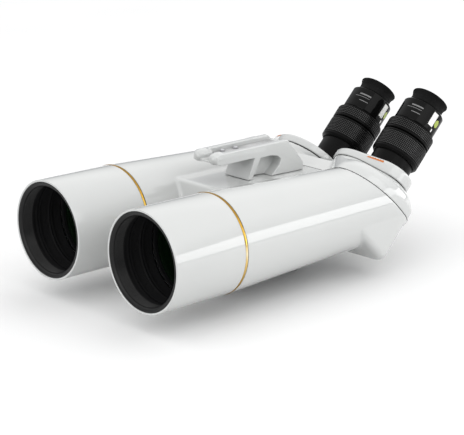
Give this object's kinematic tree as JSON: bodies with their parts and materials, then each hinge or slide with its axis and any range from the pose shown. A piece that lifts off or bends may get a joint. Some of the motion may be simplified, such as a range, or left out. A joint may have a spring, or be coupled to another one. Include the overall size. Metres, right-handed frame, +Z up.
{
  "type": "angled astronomy binoculars",
  "caption": "Large white astronomy binoculars with wide dew shields, gold trim bands, angled rotating eyepiece turrets, knurled focusers and a carry handle over a black foot.",
  "frame": {"origin": "bottom centre of the whole object's box, at the sole of the foot", "axes": "+Y along the tubes from the objectives to the eyepieces, +Z up, +X towards the observer's left hand"},
  "size_m": [0.2338, 0.4308, 0.1597],
  "materials": {
    "white_enamel": "glossy",
    "gold_trim": "polished",
    "matt_black": "matte",
    "black_anodised": "satin",
    "coated_glass": "polished",
    "prism_glass": "polished",
    "steel": "satin",
    "chrome": "polished",
    "gloss_black": "glossy",
    "rubber": "matte",
    "grey_anodised": "satin"
  },
  "bodies": {
    "housing": {"dew_shield_left": "white_enamel", "dew_shield_right": "white_enamel", "main_casting": "white_enamel", "rear_casting": "white_enamel", "carry_handle": "white_enamel", "trim_ring_left": "gold_trim", "trim_ring_right": "gold_trim", "shield_liner_left": "matt_black", "shield_liner_right": "matt_black", "barrel_baffle_left": "matt_black", "barrel_baffle_right": "matt_black", "objective_cell_left": "matt_black", "objective_cell_right": "matt_black", "lens_retaining_ring_left": "black_anodised", "lens_retaining_ring_right": "black_anodised", "prism_bracket_left": "black_anodised", "prism_bracket_right": "black_anodised", "crown_lens_left": "coated_glass", "crown_lens_right": "coated_glass", "flint_lens_left": "coated_glass", "flint_lens_right": "coated_glass", "roof_prism_left": "prism_glass", "roof_prism_right": "prism_glass", "finder_shoe": "grey_anodised", "shoe_screw_front": "steel", "shoe_screw_rear": "steel", "handle_screw_front": "steel", "handle_screw_rear": "steel", "foot_screw_front": "steel", "foot_screw_rear": "steel", "foot_block": "black_anodised"},
    "turret_left": {"turret_shell_left": "white_enamel", "turret_base_left": "black_anodised", "turret_retaining_ring_left": "steel", "rhomboid_prism_left": "prism_glass", "focuser_tube_left": "black_anodised"},
    "focus_ring_body_left": {"focus_ring_left": "black_anodised"},
    "draw_tube_body_left": {"draw_tube_left": "black_anodised"},
    "clamp_ring_body_left": {"clamp_ring_left": "black_anodised"},
    "eyepiece_left": {"eyepiece_nosepiece_left": "chrome", "eyepiece_barrel_left": "gloss_black", "field_lens_left": "coated_glass", "eye_lens_left": "coated_glass", "eyecup_left": "rubber"},
    "turret_right": {"turret_shell_right": "white_enamel", "turret_base_right": "black_anodised", "turret_retaining_ring_right": "steel", "rhomboid_prism_right": "prism_glass", "focuser_tube_right": "black_anodised"},
    "focus_ring_body_right": {"focus_ring_right": "black_anodised"},
    "draw_tube_body_right": {"draw_tube_right": "black_anodised"},
    "clamp_ring_body_right": {"clamp_ring_right": "black_anodised"},
    "eyepiece_right": {"eyepiece_nosepiece_right": "chrome", "eyepiece_barrel_right": "gloss_black", "field_lens_right": "coated_glass", "eye_lens_right": "coated_glass", "eyecup_right": "rubber"}
  },
  "joints": [
    {"name": "turret_turn_left", "type": "hinge", "parent": "housing", "child": "turret_left", "pos_m": [0.0686, 0.10032, 0.08271], "axis": [0, 0.7071, 0.7071], "range_deg": [-2.6, 24.3]},
    {"name": "focus_turn_left", "type": "hinge", "parent": "turret_left", "child": "focus_ring_body_left", "pos_m": [0.03625, 0.12857, 0.07285], "axis": [0, 0.7071, 0.7071], "range_deg": [0, 345]},
    {"name": "focus_travel_left", "type": "slide", "parent": "turret_left", "child": "draw_tube_body_left", "axis": [0, 0.7071, 0.7071], "range_m": [0, 0.009]},
    {"name": "clamp_turn_left", "type": "hinge", "parent": "draw_tube_body_left", "child": "clamp_ring_body_left", "pos_m": [0.03625, 0.12857, 0.07285], "axis": [0, 0.7071, 0.7071], "range_deg": [0, 60]},
    {"name": "eyepiece_slide_left", "type": "slide", "parent": "draw_tube_body_left", "child": "eyepiece_left", "axis": [0, 0.7071, 0.7071], "range_m": [0, 0.034]},
    {"name": "turret_turn_right", "type": "hinge", "parent": "housing", "child": "turret_right", "pos_m": [-0.0686, 0.10032, 0.08271], "axis": [0, 0.7071, 0.7071], "range_deg": [-24.3, 2.6]},
    {"name": "focus_turn_right", "type": "hinge", "parent": "turret_right", "child": "focus_ring_body_right", "pos_m": [-0.03625, 0.12857, 0.07285], "axis": [0, 0.7071, 0.7071], "range_deg": [0, 345]},
    {"name": "focus_travel_right", "type": "slide", "parent": "turret_right", "child": "draw_tube_body_right", "axis": [0, 0.7071, 0.7071], "range_m": [0, 0.009]},
    {"name": "clamp_turn_right", "type": "hinge", "parent": "draw_tube_body_right", "child": "clamp_ring_body_right", "pos_m": [-0.03625, 0.12857, 0.07285], "axis": [0, 0.7071, 0.7071], "range_deg": [0, 60]},
    {"name": "eyepiece_slide_right", "type": "slide", "parent": "draw_tube_body_right", "child": "eyepiece_right", "axis": [0, 0.7071, 0.7071], "range_m": [0, 0.034]}
  ],
  "couplings": [
    {"joint": "focus_turn_left", "follows": "focus_travel_left", "rad_per_m": 669},
    {"joint": "focus_turn_right", "follows": "focus_travel_right", "rad_per_m": 669}
  ]
}
